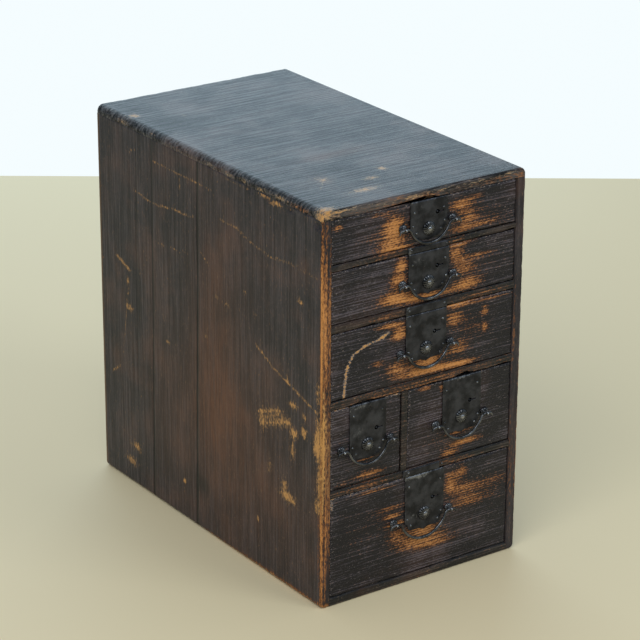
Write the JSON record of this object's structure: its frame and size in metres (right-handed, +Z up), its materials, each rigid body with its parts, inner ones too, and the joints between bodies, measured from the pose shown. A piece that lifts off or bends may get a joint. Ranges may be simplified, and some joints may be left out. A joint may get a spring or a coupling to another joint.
{
  "type": "small tansu chest",
  "caption": "Small upright wooden tabletop chest with stained case, sliding drawers, iron lock plates and hanging bail pulls.",
  "frame": {"origin": "on the floor, under the centre of the case", "axes": "+X to the right along the drawer fronts, +Y from the front to the back, +Z up"},
  "size_m": [0.264, 0.4568, 0.45],
  "materials": {
    "stained_wood": "dark worn stain",
    "plain_inner_wood": "unfinished",
    "blackened_iron": "blackened, hand forged"
  },
  "bodies": {
    "case": {"left_side": "stained_wood", "right_side": "stained_wood", "top_board": "stained_wood", "bottom_board": "stained_wood", "back_panel": "plain_inner_wood", "shelf_1": "stained_wood", "shelf_2": "stained_wood", "shelf_3": "stained_wood", "shelf_4": "stained_wood", "divider": "stained_wood", "strike_plates": "blackened_iron"},
    "drawer_1": {"drawer_1_front": "stained_wood", "drawer_1_sides": "plain_inner_wood", "drawer_1_back": "plain_inner_wood", "drawer_1_bottom": "plain_inner_wood", "drawer_1_lock_plate": "blackened_iron", "drawer_1_pull_fixings": "blackened_iron"},
    "drawer_1_bail": {"drawer_1_bail": "blackened_iron"},
    "drawer_1_bolt": {"drawer_1_lock_bolt": "blackened_iron"},
    "drawer_2": {"drawer_2_front": "stained_wood", "drawer_2_sides": "plain_inner_wood", "drawer_2_back": "plain_inner_wood", "drawer_2_bottom": "plain_inner_wood", "drawer_2_lock_plate": "blackened_iron", "drawer_2_pull_fixings": "blackened_iron"},
    "drawer_2_bail": {"drawer_2_bail": "blackened_iron"},
    "drawer_2_bolt": {"drawer_2_lock_bolt": "blackened_iron"},
    "drawer_3": {"drawer_3_front": "stained_wood", "drawer_3_sides": "plain_inner_wood", "drawer_3_back": "plain_inner_wood", "drawer_3_bottom": "plain_inner_wood", "drawer_3_lock_plate": "blackened_iron", "drawer_3_pull_fixings": "blackened_iron"},
    "drawer_3_bail": {"drawer_3_bail": "blackened_iron"},
    "drawer_3_bolt": {"drawer_3_lock_bolt": "blackened_iron"},
    "drawer_4": {"drawer_4_front": "stained_wood", "drawer_4_sides": "plain_inner_wood", "drawer_4_back": "plain_inner_wood", "drawer_4_bottom": "plain_inner_wood", "drawer_4_lock_plate": "blackened_iron", "drawer_4_pull_fixings": "blackened_iron"},
    "drawer_4_bail": {"drawer_4_bail": "blackened_iron"},
    "drawer_4_bolt": {"drawer_4_lock_bolt": "blackened_iron"},
    "drawer_5": {"drawer_5_front": "stained_wood", "drawer_5_sides": "plain_inner_wood", "drawer_5_back": "plain_inner_wood", "drawer_5_bottom": "plain_inner_wood", "drawer_5_lock_plate": "blackened_iron", "drawer_5_pull_fixings": "blackened_iron"},
    "drawer_5_bail": {"drawer_5_bail": "blackened_iron"},
    "drawer_5_bolt": {"drawer_5_lock_bolt": "blackened_iron"},
    "drawer_6": {"drawer_6_front": "stained_wood", "drawer_6_sides": "plain_inner_wood", "drawer_6_back": "plain_inner_wood", "drawer_6_bottom": "plain_inner_wood", "drawer_6_lock_plate": "blackened_iron", "drawer_6_pull_fixings": "blackened_iron"},
    "drawer_6_bail": {"drawer_6_bail": "blackened_iron"},
    "drawer_6_bolt": {"drawer_6_lock_bolt": "blackened_iron"}
  },
  "joints": [
    {"name": "drawer_1_slide", "type": "slide", "parent": "case", "child": "drawer_1", "axis": [0, -1, 0], "range_m": [0, 0.38]},
    {"name": "drawer_1_bail_swing", "type": "hinge", "parent": "drawer_1", "child": "drawer_1_bail", "pos_m": [0.0023, -0.229, 0.4122], "axis": [-1, 0, 0], "range_deg": [-5, 175]},
    {"name": "drawer_1_lock_throw", "type": "slide", "parent": "drawer_1", "child": "drawer_1_bolt", "axis": [0, 0, 1], "range_m": [0, 0.004]},
    {"name": "drawer_2_slide", "type": "slide", "parent": "case", "child": "drawer_2", "axis": [0, -1, 0], "range_m": [0, 0.38]},
    {"name": "drawer_2_bail_swing", "type": "hinge", "parent": "drawer_2", "child": "drawer_2_bail", "pos_m": [0.0035, -0.229, 0.3498], "axis": [-1, 0, 0], "range_deg": [-5, 175]},
    {"name": "drawer_2_lock_throw", "type": "slide", "parent": "drawer_2", "child": "drawer_2_bolt", "axis": [0, 0, 1], "range_m": [0, 0.004]},
    {"name": "drawer_3_slide", "type": "slide", "parent": "case", "child": "drawer_3", "axis": [0, -1, 0], "range_m": [0, 0.38]},
    {"name": "drawer_3_bail_swing", "type": "hinge", "parent": "drawer_3", "child": "drawer_3_bail", "pos_m": [0.0024, -0.229, 0.2719], "axis": [-1, 0, 0], "range_deg": [-5, 175]},
    {"name": "drawer_3_lock_throw", "type": "slide", "parent": "drawer_3", "child": "drawer_3_bolt", "axis": [0, 0, 1], "range_m": [0, 0.004]},
    {"name": "drawer_4_slide", "type": "slide", "parent": "case", "child": "drawer_4", "axis": [0, -1, 0], "range_m": [0, 0.38]},
    {"name": "drawer_4_bail_swing", "type": "hinge", "parent": "drawer_4", "child": "drawer_4_bail", "pos_m": [-0.07405, -0.229, 0.1797], "axis": [-1, 0, 0], "range_deg": [-5, 175]},
    {"name": "drawer_4_lock_throw", "type": "slide", "parent": "drawer_4", "child": "drawer_4_bolt", "axis": [0, 0, 1], "range_m": [0, 0.004]},
    {"name": "drawer_5_slide", "type": "slide", "parent": "case", "child": "drawer_5", "axis": [0, -1, 0], "range_m": [0, 0.38]},
    {"name": "drawer_5_bail_swing", "type": "hinge", "parent": "drawer_5", "child": "drawer_5_bail", "pos_m": [0.05125, -0.229, 0.1784], "axis": [-1, 0, 0], "range_deg": [-5, 175]},
    {"name": "drawer_5_lock_throw", "type": "slide", "parent": "drawer_5", "child": "drawer_5_bolt", "axis": [0, 0, 1], "range_m": [0, 0.004]},
    {"name": "drawer_6_slide", "type": "slide", "parent": "case", "child": "drawer_6", "axis": [0, -1, 0], "range_m": [0, 0.38]},
    {"name": "drawer_6_bail_swing", "type": "hinge", "parent": "drawer_6", "child": "drawer_6_bail", "pos_m": [0.0011, -0.229, 0.0757], "axis": [-1, 0, 0], "range_deg": [-5, 175]},
    {"name": "drawer_6_lock_throw", "type": "slide", "parent": "drawer_6", "child": "drawer_6_bolt", "axis": [0, 0, 1], "range_m": [0, 0.004]}
  ]
}
